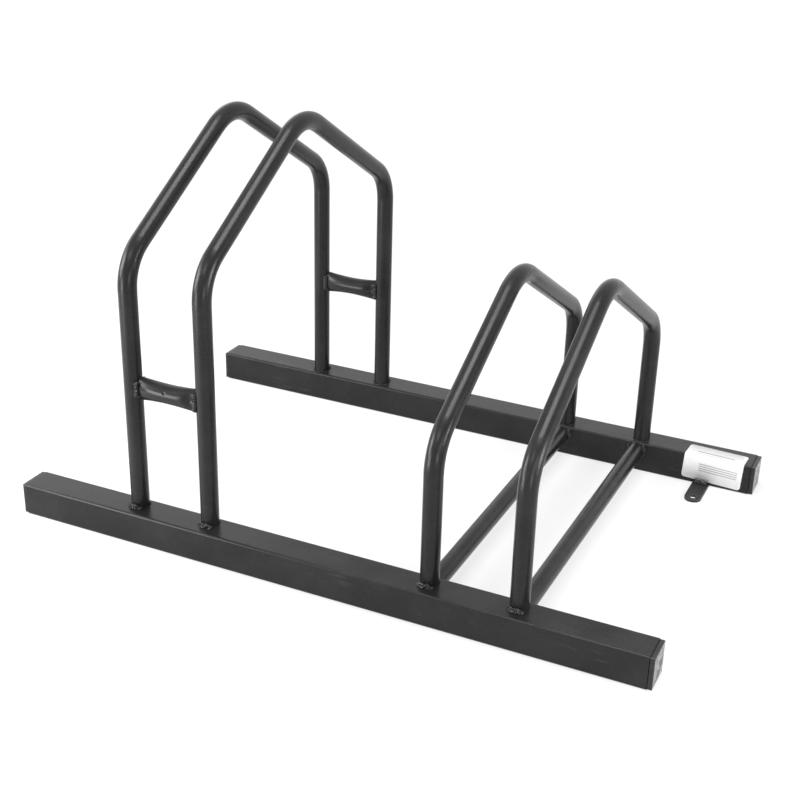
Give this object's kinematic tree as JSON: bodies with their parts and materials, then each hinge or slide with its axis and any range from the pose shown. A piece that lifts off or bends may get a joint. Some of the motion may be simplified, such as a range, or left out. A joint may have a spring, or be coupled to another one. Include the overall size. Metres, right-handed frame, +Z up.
{
  "type": "floor bicycle rack",
  "caption": "Floor rack of square rails and bent tube hoops that hold bicycle wheels upright side by side, one raised on bars between its hoops and one low.",
  "frame": {"origin": "on the floor, at the middle of the footprint: midway along the rails and midway between them", "axes": "+X along the rails from the tall hoops to the low ones, +Y from the front rail to the rear rail that carries the anchor tab, +Z up"},
  "size_m": [0.694, 0.4424, 0.4163],
  "materials": {
    "rails": "satin black powder coat",
    "tubes": "satin black powder coat",
    "welds": "satin black powder coat over weld beads",
    "end_plugs": "smooth black plastic"
  },
  "bodies": {
    "root": {"front_rail": "rails", "rear_rail": "rails", "tall_hoop_outer": "tubes", "tall_hoop_inner": "tubes", "low_hoop_inner": "tubes", "low_hoop_outer": "tubes", "front_wheel_bar": "tubes", "rear_wheel_bar": "tubes", "floor_tube_inner": "tubes", "floor_tube_outer": "tubes", "plug_front_left": "end_plugs", "plug_front_right": "end_plugs", "plug_rear_left": "end_plugs", "plug_rear_right": "end_plugs", "anchor_tab": "rails", "tall_front_foot_welds": "welds", "tall_rear_foot_welds": "welds", "low_front_foot_welds": "welds", "low_rear_foot_welds": "welds", "front_bar_welds": "welds", "rear_bar_welds": "welds", "floor_tube_front_welds": "welds", "floor_tube_rear_welds": "welds", "anchor_tab_weld": "welds"}
  },
  "joints": []
}
